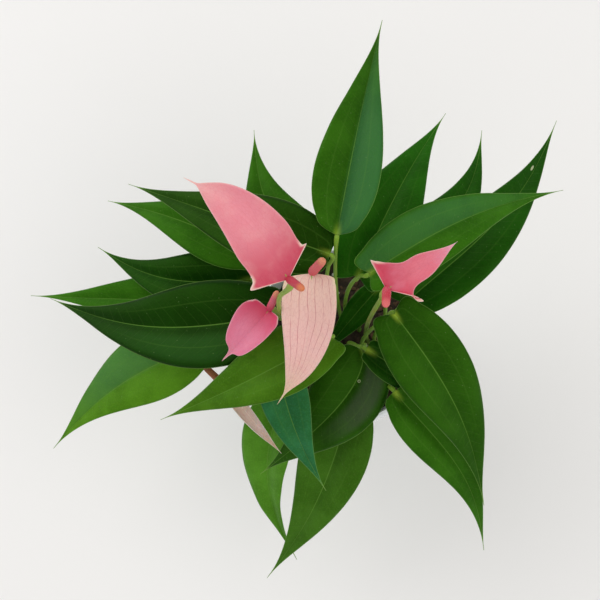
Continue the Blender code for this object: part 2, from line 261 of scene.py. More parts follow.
def through(knots, points, at):
    """A smooth curve through the points at the knots, read at the given places."""
    points = np.asarray(points, float)
    shape = (-1,) + (1,) * (points.ndim - 1)
    gap = np.diff(knots).reshape(shape)
    slope = np.diff(points, axis=0) / gap
    tangent = np.empty_like(points)
    tangent[1:-1] = (slope[:-1] * gap[1:] + slope[1:] * gap[:-1]) / (gap[1:] + gap[:-1])
    tangent[0] = 1.5 * slope[0] - 0.5 * tangent[1]
    tangent[-1] = 1.5 * slope[-1] - 0.5 * tangent[-2]
    cell = np.clip(np.searchsorted(knots, at, side="right") - 1, 0, len(knots) - 2)
    width = np.diff(knots)[cell].reshape(shape)
    t = (np.asarray(at) - np.asarray(knots)[cell]).reshape(shape) / width
    near, far = points[cell], points[cell + 1]
    return (
        (2 * t**3 - 3 * t**2 + 1) * near
        + (t**3 - 2 * t**2 + t) * width * tangent[cell]
        + (3 * t**2 - 2 * t**3) * far
        + (t**3 - t**2) * width * tangent[cell + 1]
    )


def lengths(points):
    """Distance along a run of points, from 0."""
    return np.concatenate([[0], np.cumsum(np.linalg.norm(np.diff(points, axis=0), axis=-1))])


# Materials


class Nodes:
    """A material being made of shader nodes."""

    def __init__(self, name):
        self.material = bpy.data.materials.new(name)
        self.material.use_nodes = True
        self.tree = self.material.node_tree
        self.shader = self.tree.nodes["Principled BSDF"]

    def put(self, socket, value):
        if isinstance(value, bpy.types.NodeSocket):
            self.tree.links.new(value, socket)
        elif isinstance(value, tuple) and len(value) == 3 and socket.type == "RGBA":
            socket.default_value = (*value, 1)
        else:
            socket.default_value = value

    def set(self, **sockets):
        """Set or link the shader's own sockets, whose names have _ for a space."""
        for name, value in sockets.items():
            self.put(self.shader.inputs[name.replace("_", " ")], value)

    def math(self, operation, *values):
        made = self.tree.nodes.new("ShaderNodeMath")
        made.operation = operation
        for socket, value in zip(made.inputs, values):
            self.put(socket, value)
        return made.outputs[0]

    def times(self, first, *others):
        product = first
        for other in others:
            product = self.math("MULTIPLY", product, other)
        return product

    def apart(self, value, other):
        return self.math("ABSOLUTE", self.math("SUBTRACT", value, other))

    def crest(self, phase):
        """1 where the phase is a whole number, falling to 0 half-way to the next."""
        return self.times(self.apart(self.math("FRACT", phase), 0.5), 2.0)

    def step(self, value, low, high):
        """0 below low and 1 above high, or the other way round where low is the greater."""
        made = self.tree.nodes.new("ShaderNodeMapRange")
        made.interpolation_type = "SMOOTHSTEP"
        flip = low > high
        ends = (min(low, high), max(low, high), float(flip), float(not flip))
        for socket, given in zip(made.inputs, (value, *ends)):
            self.put(socket, given)
        return made.outputs[0]

    def read(self, name):
        made = self.tree.nodes.new("ShaderNodeAttribute")
        made.attribute_name = name
        return made.outputs["Fac"]

    def mix(self, factor, first, second):
        made = self.tree.nodes.new("ShaderNodeMix")
        made.data_type = "RGBA"
        self.put(made.inputs[0], factor)
        self.put(made.inputs[6], first)
        self.put(made.inputs[7], second)
        return made.outputs[2]

    def over(self, colour, mask, strength, other):
        """The colour with another laid over it where the mask is 1."""
        return self.mix(self.times(mask, strength), colour, other)

    def noise(self, scale, detail=3.0, vector=None, rough=0.55):
        made = self.tree.nodes.new("ShaderNodeTexNoise")
        made.inputs["Scale"].default_value = scale
        made.inputs["Detail"].default_value = detail
        made.inputs["Roughness"].default_value = rough
        self.put(made.inputs["Vector"], vector or self.place())
        return made.outputs[0]

    def cells(self, scale, vector=None, feature="F1"):
        made = self.tree.nodes.new("ShaderNodeTexVoronoi")
        made.feature = feature
        made.inputs["Scale"].default_value = scale
        self.put(made.inputs["Vector"], vector or self.place())
        return made.outputs["Distance"]

    def place(self):
        if not hasattr(self, "coordinates"):
            self.coordinates = self.tree.nodes.new("ShaderNodeTexCoord").outputs["Object"]
        return self.coordinates

    def vector(self, x, y, z=0.0):
        made = self.tree.nodes.new("ShaderNodeCombineXYZ")
        for socket, value in zip(made.inputs, (x, y, z)):
            self.put(socket, value)
        return made.outputs[0]

    def bump(self, height, strength, distance):
        made = self.tree.nodes.new("ShaderNodeBump")
        made.inputs["Strength"].default_value = strength
        made.inputs["Distance"].default_value = distance
        self.put(made.inputs["Height"], height)
        self.put(self.shader.inputs["Normal"], made.outputs[0])


def with_painted_sheen(n, colour, sheen, across, along):
    """The colour with a soft-edged strip of painted sheen laid lengthwise over it."""
    place, half, reach, sheen_colour, strength = sheen
    inside = n.step(n.apart(across, place), half + 0.12, half - 0.12)
    return n.over(colour, n.times(inside, n.step(along, reach, 0.4 * reach)), strength, sheen_colour)


def with_mark(n, colour, mark, far, wide):
    """The colour with one pale healed mark, solid or a ring."""
    place, aside, length, width, ring = mark
    lengthwise = n.math("DIVIDE", n.math("SUBTRACT", far, place), length)
    crosswise = n.math("DIVIDE", n.math("SUBTRACT", wide, aside), width)
    squares = n.math("ADD", n.math("POWER", lengthwise, 2.0), n.math("POWER", crosswise, 2.0))
    away = n.math("SQRT", squares)
    shape = n.step(away, 1.0, 0.7)
    if ring:
        shape = n.times(shape, n.step(away, 0.35, 0.55))
    return n.over(colour, shape, 0.75, MARK_COLOUR)


def lateral_veins(n, across, far, side):
    """1 on the veins that leave the midrib and sweep towards the tip, fading before the margin."""
    curve = n.math("POWER", side, 2.0)
    swept = n.math("MULTIPLY_ADD", curve, VEIN_CURVE, n.times(side, VEIN_START_SLOPE))
    crest = n.crest(n.math("DIVIDE", n.math("SUBTRACT", far, swept), VEIN_SPACING))
    return n.times(n.step(crest, 0.90, 1.0), n.step(n.math("ABSOLUTE", across), 0.92, 0.55))


def collecting_vein(n, across, along, side):
    """1 on the vein that runs from the joint beside each margin, fading towards the tip."""
    offset = n.apart(n.math("ABSOLUTE", across), 0.52)
    return n.times(n.step(n.times(offset, side), 0.35, 0.05), n.step(along, 0.75, 0.35))


def leaf_material(number, under=False):
    """Glossy green with pale midrib, veins and joint, a pale margin painted as the edge highlight,
    painted glints and, on some leaves, a painted sheen strip. The underside is paler and duller.
    """
    lighter, joint_yellow = LEAF_LOOKS[number]
    greens = GREENS[slot_of("blade_" + number)]
    base, bright = (tuple(lighter * part for part in green) for green in greens)
    n = Nodes(f"leaf_{number}_{'under' if under else 'top'}")
    across, along = n.read("across"), n.read("along")
    wide, far, margin = n.read("wide"), n.read("far"), n.read("margin")
    side = n.math("ABSOLUTE", wide)
    fine = n.noise(900, 2)
    cloud = n.step(n.noise(38, 3), 0.38, 0.66)
    colour = n.mix(n.math("MULTIPLY_ADD", cloud, 0.45, 0.10), base, bright)
    # Fine bright speckles: painted glints of the leaf's gloss.
    colour = n.over(colour, n.step(fine, 0.45, 0.70), 0.34, bright)
    # Painted sheen: a strip where one half of the leaf shows the reflection.
    if number in SHEEN_STRIPS and not under:
        colour = with_painted_sheen(n, colour, SHEEN_STRIPS[number], across, along)
    lateral = lateral_veins(n, across, far, side)
    collecting = collecting_vein(n, across, along, side)
    pale = PALE_VEIN_UNDER if under else PALE_VEIN
    colour = n.mix(n.math("MAXIMUM", n.times(lateral, 0.08), n.times(collecting, 0.09)), colour, pale)
    rib_half_width = n.math("MULTIPLY_ADD", along, -0.45, 0.75)
    rib = n.step(n.math("DIVIDE", side, rib_half_width), 1.0, 0.45)
    colour = n.over(colour, rib, 0.8 if under else 0.50, pale)
    joint = n.times(n.step(far, 10.0, 0.0), n.step(side, 3.5, 0.3))
    colour = n.over(colour, joint, 0.7 * joint_yellow, JOINT_YELLOW)
    # Pale margin: painted highlight along the leaf's edge.
    colour = n.over(colour, n.step(margin, 0.50, 0.12), 0.45, EDGE_HIGHLIGHT_GREEN)
    colour = n.over(colour, n.step(along, 0.90, 1.0), 0.45, TIP_GREEN)
    if number in MARKS and not under:
        colour = with_mark(n, colour, MARKS[number], far, wide)
    colour = n.over(colour, n.step(n.cells(210), 0.09, 0.05), 0.25, SPECK_COLOUR)
    if under:
        colour = n.mix(0.35, colour, UNDER_HAZE)
    rough = n.math("MULTIPLY_ADD", n.noise(140, 2), 0.20, 0.50 if under else 0.30)
    n.set(Base_Color=colour, Roughness=rough, IOR=1.45)
    n.set(Specular_IOR_Level=0.20 if under else 0.30, Specular_Tint=(0.34, 1.0, 0.10))
    n.set(Subsurface_Weight=0.06, Subsurface_Radius=(0.3, 1.0, 0.1), Subsurface_Scale=0.001)
    grain = n.math("MULTIPLY_ADD", n.cells(620), 0.6, n.times(fine, 0.5))
    n.bump(n.math("SUBTRACT", grain, n.times(lateral, 0.5)), 0.45, 0.0003)
    return n.material


def spathe_material(number, under=False):
    """Waxy colour that changes from base to tip, with lines lengthwise, a fine net and pale ears."""
    base, middle, end, vein, strength, count, edge = SPATHE_LOOKS[number]
    n = Nodes(f"spathe_{number}_{'under' if under else 'top'}")
    across, along, margin = n.read("across"), n.read("along"), n.read("margin")
    aside = n.math("ABSOLUTE", across)
    colour = n.mix(n.step(along, 0.02, 0.42), base, middle)
    colour = n.mix(n.step(along, 0.55, 1.0), colour, end)
    colour = n.over(colour, n.step(n.noise(60, 3), 0.45, 0.75), 0.30, end)
    wander = n.math("MULTIPLY_ADD", n.noise(45, 1), 0.26, across)
    line = n.step(n.crest(n.times(wander, count / 2)), 0.86, 1.0)
    fade = n.times(n.step(along, 1.0, 0.55), n.step(aside, 0.97, 0.80))
    broken = n.step(n.noise(75, 2), 0.34, 0.56)
    colour = n.mix(n.times(line, fade, strength, broken), colour, vein)
    lengthened = n.vector(n.times(n.read("wide"), 0.0022), n.times(n.read("far"), 0.0008))
    net = n.times(n.step(n.cells(380, lengthened, "DISTANCE_TO_EDGE"), 0.10, 0.0), 0.22)
    colour = n.mix(net, colour, vein)
    # Pale margin: painted highlight along the spathe's edge.
    colour = n.over(colour, n.step(margin, 0.5, 0.1), 0.25, edge)
    ear = n.times(n.step(aside, 0.86, 1.0), n.step(along, 0.16, 0.08))
    colour = n.over(colour, ear, 0.75, edge)
    if under:
        colour = n.mix(0.25, colour, edge)
    n.set(Base_Color=colour, Roughness=n.math("MULTIPLY_ADD", n.noise(120, 2), 0.20, 0.36), IOR=1.42)
    n.set(Subsurface_Weight=0.15, Subsurface_Radius=(1.0, 0.35, 0.25), Subsurface_Scale=0.0015)
    n.bump(n.math("ADD", n.times(n.noise(1100, 2), 0.5), n.times(net, -1.2)), 0.30, 0.00022)
    return n.material


def stalk_material(name, low, high, blush):
    """Green stalk, paler towards the top, with fine long grain and a faint blush."""
    n = Nodes(name)
    along = n.read("along")
    grain = n.noise(90, 3, n.vector(n.read("turn"), n.times(along, 0.35)))
    colour = n.mix(n.step(along, 0.0, 0.9), low, high)
    colour = n.over(colour, n.step(grain, 0.42, 0.70), 0.40, (0.30, 0.44, 0.12))
    colour = n.over(colour, n.step(n.noise(55, 2), 0.55, 0.75), blush, (0.34, 0.14, 0.07))
    colour = n.over(colour, n.step(along, 0.93, 1.0), 0.6, (0.38, 0.52, 0.10))
    colour = n.over(colour, n.step(along, 0.06, 0.0), 0.7, (0.20, 0.13, 0.06))
    n.set(Base_Color=colour, Roughness=n.math("MULTIPLY_ADD", grain, 0.2, 0.34), IOR=1.45)
    n.set(Specular_Tint=(0.8, 1.0, 0.5), Subsurface_Weight=0.08, Subsurface_Scale=0.001)
    n.bump(n.math("ADD", grain, n.times(n.noise(1200, 1), 0.3)), 0.3, 0.0002)
    return n.material


def spadix_material(number):
    """Fleshy colour from foot to tip, with painted shade between the knobs and dots on top of them."""
    foot, middle, end, dot = SPADIX_LOOKS[number]
    n = Nodes("spadix_look_" + number)
    along, knob = n.read("along"), n.read("knob")
    colour = n.mix(n.step(along, 0.05, 0.45), foot, middle)
    colour = n.mix(n.step(along, 0.66, 0.95), colour, end)
    # Painted shade in the hollows between the knobs.
    colour = n.over(colour, n.step(knob, 0.35, 0.0), 0.55, tuple(0.45 * part for part in foot))
    dots = n.times(n.step(knob, 0.80, 0.97), n.step(n.noise(420, 1), 0.38, 0.52))
    if number in LOWER_DOTS_ONLY:
        dots = n.times(dots, n.step(along, 0.62, 0.45))
    colour = n.over(colour, dots, 0.85, dot)
    n.set(Base_Color=colour, Roughness=n.math("MULTIPLY_ADD", n.noise(500, 2), 0.2, 0.36), IOR=1.45)
    n.set(Subsurface_Weight=0.12, Subsurface_Scale=0.001)
    n.bump(n.noise(1500, 2), 0.25, 0.00015)
    return n.material


def glaze_material():
    """Cool white glaze with faint clouds, a few pits and a duller foot."""
    n = Nodes("glaze_white")
    cloud = n.times(n.step(n.noise(18, 3), 0.40, 0.70), 0.5)
    pits = n.step(n.cells(260), 0.055, 0.035)
    colour = n.mix(cloud, (0.80, 0.84, 0.88), (0.86, 0.88, 0.89))
    colour = n.over(colour, pits, 0.25, (0.52, 0.50, 0.46))
    colour = n.over(colour, n.step(n.read("height"), 0.010, 0.002), 0.30, (0.60, 0.55, 0.48))
    n.set(Base_Color=colour, Roughness=n.math("MULTIPLY_ADD", n.noise(70, 2), 0.12, 0.12), IOR=1.5)
    n.set(Coat_Weight=0.5, Coat_Roughness=0.06)
    n.bump(n.math("ADD", n.noise(160, 2), n.times(pits, -0.5)), 0.20, 0.0003)
    return n.material


def soil_material():
    """Dark damp soil, brown bark and pale grains, told apart by each point's kind."""
    n = Nodes("potting_soil")
    kind = n.read("kind")
    cloud = n.noise(220, 4)
    colour = n.mix(n.step(cloud, 0.35, 0.70), (0.016, 0.010, 0.006), (0.060, 0.036, 0.020))
    bark = n.mix(n.noise(500, 3), (0.050, 0.026, 0.012), (0.150, 0.080, 0.040))
    colour = n.mix(n.step(kind, 0.60, 0.64), colour, bark)
    colour = n.mix(n.step(kind, 0.96, 0.97), colour, (0.55, 0.52, 0.46))
    n.set(Base_Color=colour, Roughness=n.math("MULTIPLY_ADD", cloud, 0.2, 0.76), IOR=1.4)
    n.bump(n.noise(1400, 4, rough=0.7), 0.9, 0.0006)
    return n.material


# Pieces


def piece(name, points, faces, materials, nodes, values=None, slots_of=None):
    """A smooth-shaded mesh piece that stands for CAD nodes. values are named numbers per point."""
    mesh = bpy.data.meshes.new(name)
    mesh.from_pydata([tuple(p) for p in points], [], [tuple(f) for f in faces])
    for key, numbers in (values or {}).items():
        attribute = mesh.attributes.new(key, "FLOAT", "POINT")
        attribute.data.foreach_set("value", np.asarray(numbers, np.float32))
    for given in materials:
        mesh.materials.append(given)
    if slots_of is not None:
        mesh.polygons.foreach_set("material_index", slots_of)
    mesh.shade_smooth()
    mesh.update()
    made = bpy.data.objects.new(name, mesh)
    bpy.context.scene.collection.objects.link(made)
    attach(made, "root")
    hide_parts(*nodes)
    return made


def slot_of(node):
    """The record's material slot of a CAD node."""
    return next(s["material_slot"] for s in frame["record"]["subparts"] if s["node"] == node)


def seed_of(name):
    """A whole number worked out from a name."""
    return sum(ord(letter) * (place + 7) for place, letter in enumerate(name)) % 997


def wave(seed, place):
    """A smooth uneven height at a place along a line, which repeats for the same seed."""
    return noise.noise(Vector((place + seed * 3.1, seed * 1.7, seed * 0.37)))


def unit(vectors):
    size = np.linalg.norm(vectors, axis=-1, keepdims=True)
    return vectors / np.where(size > 1e-12, size, 1)


def blade_surface(node, near, camber, ripple):
    """Middle surface of a blade as a grid of points, with its normals and its own coordinates."""
    joint, control, tip = blade_control(node, near)
    seed = seed_of(node)
    middle = control.shape[1] // 2
    ends = [np.repeat(point[None, None], control.shape[1], axis=1) for point in (joint, tip)]
    lines = np.concatenate([ends[0], control, ends[1]])
    run = lengths(lines[:, middle])
    knots = run / run[-1]
    t = np.linspace(0, 1, BLADE_ROWS + 1)
    at = np.clip(0.55 * t + 0.45 * (1 - np.cos(np.pi * t)) / 2, 0.0025, 0.9985)
    rows = through(knots, lines, at)
    column = np.linspace(-1, 1, 2 * BLADE_HALF_COLUMNS + 1)
    across = np.sign(column) * np.abs(column) ** COLUMN_CROWDING
    if control.shape[1] == 3:
        outward = np.abs(across)[None, :, None]
        margin = np.where(across[None, :, None] < 0, rows[:, :1], rows[:, 2:])
        sheet = rows[:, 1:2] * (1 - outward) + margin * outward
    else:
        places = np.linspace(-1, 1, control.shape[1])
        sheet = through(places, rows.transpose(1, 0, 2), across).transpose(1, 0, 2)
    spine = rows[:, middle]
    forward = unit(np.gradient(spine, axis=0))
    sideways = unit(rows[:, -1] - rows[:, 0])
    up = unit(np.cross(forward, sideways))[:, None]
    half = np.linalg.norm(rows[:, -1] - rows[:, 0], axis=-1)[:, None] / 2
    share = np.abs(across)[None]
    far = at[:, None] * run[-1]
    rise = camber * half * share * (1 - share) * 4
    side_seeds = [seed + (11 if place < 0 else 0) for place in across]
    beat = np.array([[wave(one, f / RIPPLE_LENGTH) for one in side_seeds] for f in far[:, 0]])
    rise = rise + ripple * beat * share**2.5 * np.minimum(1, half / (8 * MM))
    slow = np.array([wave(seed + 5, f / SWELL_LENGTH) for f in far[:, 0]])[:, None]
    rise = rise + 0.35 * ripple * slow * share
    sheet = sheet + up * rise[..., None]
    if node.startswith("spathe"):
        sheet = sheet + eared(EARS[node[-1]], at, across, sheet, spine, forward, sideways, up)
    lengthwise = np.gradient(sheet, axis=0)
    crosswise = np.gradient(sheet, axis=1)
    normal = unit(np.cross(lengthwise, crosswise))
    flipped = (normal * up).sum(-1, keepdims=True) < 0
    normal = np.where(flipped, -normal, normal)
    wide = across[None] * half / MM
    grids = {
        "across": np.repeat(across[None], len(at), axis=0),
        "along": np.repeat(at[:, None], len(across), axis=1),
        "wide": wide,
        "far": np.repeat(far / MM, len(across), axis=1),
        "margin": np.abs(half / MM * (1 - share)),
    }
    return sheet, normal, grids


def eared(ears, at, across, sheet, spine, forward, sideways, up):
    """How far each point of a spathe moves to draw out its two ears and narrow its waist."""
    right, left, place, spread_of, narrow, waist, waist_spread = ears
    share = np.abs(across)[None]
    reach = np.where(across < 0, right, left)[None] * MM
    push = np.exp(-(((at - place) / spread_of) ** 2))[:, None] * share**5 * reach
    outward = sideways[:, None] * np.sign(across)[None, :, None] - 0.25 * forward[:, None] + 0.35 * up
    pinch = narrow * np.exp(-(((at - waist) / waist_spread) ** 2))[:, None] * share
    return outward * push[..., None] - (sheet - spine[:, None]) * pinch[..., None]


def vein_height(grids):
    """Raised quilting between the lateral veins, 0 on each vein and 1 between two of them."""
    side = np.abs(grids["wide"])
    phase = (grids["far"] - VEIN_START_SLOPE * side - VEIN_CURVE * side**2) / VEIN_SPACING
    fade = np.clip((0.95 - np.abs(grids["across"])) / 0.4, 0, 1) * np.clip(side / 3, 0, 1)
    return np.sin(np.pi * np.mod(phase, 1)) ** 0.7 * fade


def closed_sheet(top, under):
    """Points and faces of a thin solid between two grids, and each face's material: 0 top, 1 under."""
    rows, columns = top.shape[:2]
    count = rows * columns
    index = np.arange(count).reshape(rows, columns)
    a, b = index[:-1, :-1].ravel(), index[:-1, 1:].ravel()
    c, d = index[1:, 1:].ravel(), index[1:, :-1].ravel()
    upper = np.stack([a, d, c, b], axis=1)
    lower = np.stack([a, b, c, d], axis=1) + count
    loop = np.concatenate([index[0], index[1:, -1], index[-1, -2::-1], index[-2:0:-1, 0]])
    after = np.roll(loop, -1)
    edge = np.stack([loop, after, after + count, loop + count], axis=1)
    faces = np.concatenate([upper, lower, edge])
    slots = np.repeat([0, 1, 0], [len(upper), len(lower), len(edge)])
    points = np.concatenate([top.reshape(-1, 3), under.reshape(-1, 3)])
    return points, faces, slots


def add_blade(number, near):
    """A leaf blade with raised midrib, a groove on each side of it and quilting between veins."""
    node = "blade_" + number
    sheet, normal, grids = blade_surface(node, near, LEAF_CAMBER, LEAF_RIPPLE)
    share = np.abs(grids["across"])
    side = np.abs(grids["wide"])
    along = grids["along"]
    slender = np.minimum(1, 0.35 + grids["margin"].max(1, keepdims=True) / 6)
    thick = (LEAF_THICKNESS - LEAF_EDGE_THINNING * share**2) * MM * slender
    rib = np.exp(-((side / (1.15 - 0.75 * along)) ** 2)) * (1.25 - 1.1 * along) * MM
    groove = np.exp(-(((side - 1.6) / 0.9) ** 2)) * (1 - along) * 0.22 * MM
    quilt = vein_height(grids) * QUILT_HEIGHT * MM
    top = sheet + normal * (thick / 2 + 0.32 * rib - groove + quilt)[..., None]
    under = sheet - normal * (thick / 2 + 0.62 * rib - 0.8 * quilt)[..., None]
    points, faces, slots = closed_sheet(top, under)
    values = {key: np.concatenate([grid.ravel()] * 2) for key, grid in grids.items()}
    looks = [leaf_material(number), leaf_material(number, True)]
    piece("leaf_" + number, points, faces, looks, [node], values, slots)
    return sheet, normal


def add_spathe(number, near):
    """A thin spathe with low ribs lengthwise."""
    node = "spathe_" + number
    camber = BOWL_CAMBER if number == "3" else SPATHE_CAMBER
    sheet, normal, grids = blade_surface(node, near, camber, SPATHE_RIPPLE)
    share = np.abs(grids["across"])
    along = grids["along"]
    half_width = grids["margin"].max(1, keepdims=True)
    slender = np.minimum(1, 0.4 + half_width / 6)
    thick = (SPATHE_THICKNESS - SPATHE_EDGE_THINNING * share**2) * MM * slender
    count = SPATHE_LOOKS[number][5]
    ribs = np.abs(np.sin(np.pi * grids["across"] * count / 2)) ** 0.8
    relief = SPATHE_RELIEF * MM * ribs * np.clip(half_width / 12, 0, 1) * (1 - along)
    top = sheet + normal * (thick / 2 + relief)[..., None]
    under = sheet - normal * (thick / 2 - 0.8 * relief)[..., None]
    points, faces, slots = closed_sheet(top, under)
    values = {key: np.concatenate([grid.ravel()] * 2) for key, grid in grids.items()}
    looks = [spathe_material(number), spathe_material(number, True)]
    piece("flower_spathe_" + number, points, faces, looks, [node], values, slots)
    return sheet, normal


def bands(index):
    """Faces between each ring of point numbers and the next."""
    ahead = np.roll(index, -1, axis=1)
    corners = [index[:-1], ahead[:-1], ahead[1:], index[1:]]
    return np.stack(corners, axis=-1).reshape(-1, 4).tolist()


def tube(centres, radii, sides):
    """Points, faces, and each point's place along and round a closed tube with rounded ends."""
    forward = unit(np.gradient(centres, axis=0))
    normal = np.zeros_like(centres)
    guess = np.array([1.0, 0.0, 0.0]) if abs(forward[0][0]) < 0.9 else np.array([0.0, 1.0, 0.0])
    for i, direction in enumerate(forward):
        guess = guess - direction * guess.dot(direction)
        guess = guess / np.linalg.norm(guess)
        normal[i] = guess
    other = np.cross(forward, normal)
    angle = np.linspace(0, 2 * np.pi, sides, endpoint=False)
    ring = normal[:, None] * np.cos(angle)[None, :, None] + other[:, None] * np.sin(angle)[None, :, None]
    points = (centres[:, None] + ring * np.asarray(radii).reshape(len(centres), -1, 1)).reshape(-1, 3)
    index = np.arange(len(points)).reshape(len(centres), sides)
    ahead = np.roll(index, -1, axis=1)
    faces = bands(index)
    low, high = len(points), len(points) + 1
    points = np.concatenate([points, centres[:1], centres[-1:]])
    faces += [[low, b, a] for a, b in zip(index[0], ahead[0])]
    faces += [[high, a, b] for a, b in zip(index[-1], ahead[-1])]
    run = lengths(centres)
    along = np.append(np.repeat(run / run[-1], sides), [0, 1])
    round_it = np.append(np.tile(angle / (2 * np.pi), len(centres)), [0, 0])
    return points, faces, {"along": along, "turn": round_it}


def add_stalk(node, sheet, normal, look, name, reach):
    """A stalk from inside the soil to the blade's midrib, with a swollen joint below the blade."""
    centres, radii = stalk_rings(node)
    middle = sheet.shape[1] // 2
    spine = sheet[:, middle]
    run = lengths(spine)
    merge = [np.searchsorted(run, distance * MM) for distance in reach]
    ends = [spine[i] - normal[i, middle] * depth * MM for i, depth in zip(merge, MERGE_DEPTHS)]
    foot = centres[0] - np.array([0, 0, ROOTED_DEPTH])
    path = np.concatenate([[foot], centres, ends])
    sizes = np.concatenate([[1.35 * radii[0]], radii, [radius * MM for radius in MERGE_RADII]])
    along = lengths(path) / lengths(path)[-1]
    at = np.concatenate([np.linspace(0, 0.86, 26), np.linspace(0.87, 1, 22)])
    line = through(along, path, at)
    size = through(along, sizes, at)
    total = lengths(line)[-1]
    from_end = (1 - at) * total / MM
    swollen = 0.30 * np.exp(-(((from_end - 11) / 4.5) ** 2))
    flared = 0.55 * np.exp(-((at * total / MM) / 9))
    size = size * (1 + swollen + flared)
    seed = seed_of(node)
    size = size * (1 + 0.05 * np.array([wave(seed, a * total / (9 * MM)) for a in at]))
    points, faces, values = tube(line, size, STALK_SIDES)
    piece(name, points, faces, [look], [node], values)


def add_spadix(number, near):
    """A blunt spike covered in close spiral rows of small round knobs."""
    node = "spadix_" + number
    mesh = welded(node)
    corners = [v.co.copy() for v in mesh.verts]
    mesh.free()
    foot = min(corners, key=lambda p: (p - Vector(near)).length)
    end = max(corners, key=lambda p: (p - foot).length)
    axis = (end - foot).normalized()
    length = (end - foot).length
    radius = max((p - foot - axis * axis.dot(p - foot)).length for p in corners)
    share = (1 - np.cos(np.linspace(0.04, 1, SPADIX_ROWS) * np.pi)) / 2
    share = 0.5 * share + 0.5 * np.linspace(0.01, 1, SPADIX_ROWS)
    outline = np.minimum(1, (share / 0.16) ** 0.5 * 0.35 + 0.65) * (1 - 0.16 * share)
    outline = outline * np.sqrt(np.clip(1 - np.clip((share - 0.80) / 0.20, 0, 1) ** 2, 0, 1))
    angle = np.linspace(0, 2 * np.pi, SPADIX_SIDES, endpoint=False)
    level = share[:, None] * length / KNOB_PITCH
    spin = KNOBS_ROUND * angle[None] / (2 * np.pi)
    first, second = spin + 0.5 * level, spin - 0.5 * level
    knob = np.abs(np.sin(np.pi * first) * np.sin(np.pi * second)) ** 0.6
    swell = radius * (outline[:, None] + KNOB_HEIGHT * (knob - 0.45) * np.sqrt(outline[:, None]))
    swell = np.maximum(swell, 0.02 * MM)
    centres = np.array(foot) + np.array(axis) * (share * length)[:, None]
    bend = np.array([wave(seed_of(node), s * 1.5) for s in share])[:, None]
    centres = centres + bend * 0.5 * MM * np.array(axis.orthogonal().normalized())
    points, faces, values = tube(centres, swell, SPADIX_SIDES)
    values["knob"] = np.append(knob.ravel(), [0.5, 0.5])
    base = Vector(near)
    stem = np.array([base, base.lerp(foot, 0.5), foot, foot + axis * 1.2 * MM])
    stem_radii = np.array([0.7, 0.8, 0.85, 0.8]) * 0.62 * radius
    more, more_faces, more_values = tube(stem, stem_radii, 16)
    more_values["knob"] = np.full(len(more), 0.5)
    more_values["along"] = np.zeros(len(more))
    faces += [[i + len(points) for i in face] for face in more_faces]
    points = np.concatenate([points, more])
    values = {key: np.concatenate([values[key], more_values[key]]) for key in values}
    piece("flower_spadix_" + number, points, faces, [spadix_material(number)], [node], values)


def add_pot():
    """The pot's own profile, rounded, spun finely."""
    mesh = welded("pot")
    flat = {v for v in mesh.verts if abs(v.co.y) < 0.01 * MM and v.co.x > 0}
    chain = [min(flat, key=lambda v: v.co.z)]
    while chain[-1]:
        ahead = {e.other_vert(chain[-1]) for e in chain[-1].link_edges} & flat - set(chain)
        chain.append(ahead.pop() if ahead else None)
    outline = [(v.co.x, v.co.z) for v in chain[:-1]]
    profile = [(0, outline[0][1])] + outline + [(0, outline[-1][1])]
    mesh.free()
    rounded = [profile[0]]
    for before, corner, after in zip(profile, profile[1:], profile[2:]):
        before, corner, after = (np.array(p) for p in (before, corner, after))
        shorter = min(np.linalg.norm(corner - before), np.linalg.norm(after - corner))
        cut = min(POT_ROUNDING, 0.45 * shorter)
        start_at = corner + unit(before - corner) * cut
        end_at = corner + unit(after - corner) * cut
        for s in np.linspace(0, 1, POT_ROUNDING_STEPS):
            rounded.append(tuple(start_at * (1 - s) ** 2 + corner * 2 * s * (1 - s) + end_at * s**2))
    rounded.append(profile[-1])
    angle = np.linspace(0, 2 * np.pi, POT_SIDES, endpoint=False)
    rings = [(r, z) for r, z in rounded if r > 0.01 * MM]
    points = [(r * math.cos(a), r * math.sin(a), z) for r, z in rings for a in angle]
    index = np.arange(len(points)).reshape(len(rings), POT_SIDES)
    ahead = np.roll(index, -1, axis=1)
    faces = bands(index)
    points += [(0, 0, rounded[0][1]), (0, 0, rounded[-1][1])]
    faces += [[len(points) - 2, b, a] for a, b in zip(index[0], ahead[0])]
    faces += [[len(points) - 1, a, b] for a, b in zip(index[-1], ahead[-1])]
    values = {"height": [p[2] for p in points]}
    piece("glazed_pot", points, faces, [glaze_material()], ["pot"], values)


def soil_height(x, y, top):
    """Height of the uneven soil at a place."""
    return top + SOIL_LUMP * noise.fractal(Vector((x, y, 0)) * SOIL_LUMP_SCALE, 0.8, 2.0, 4)


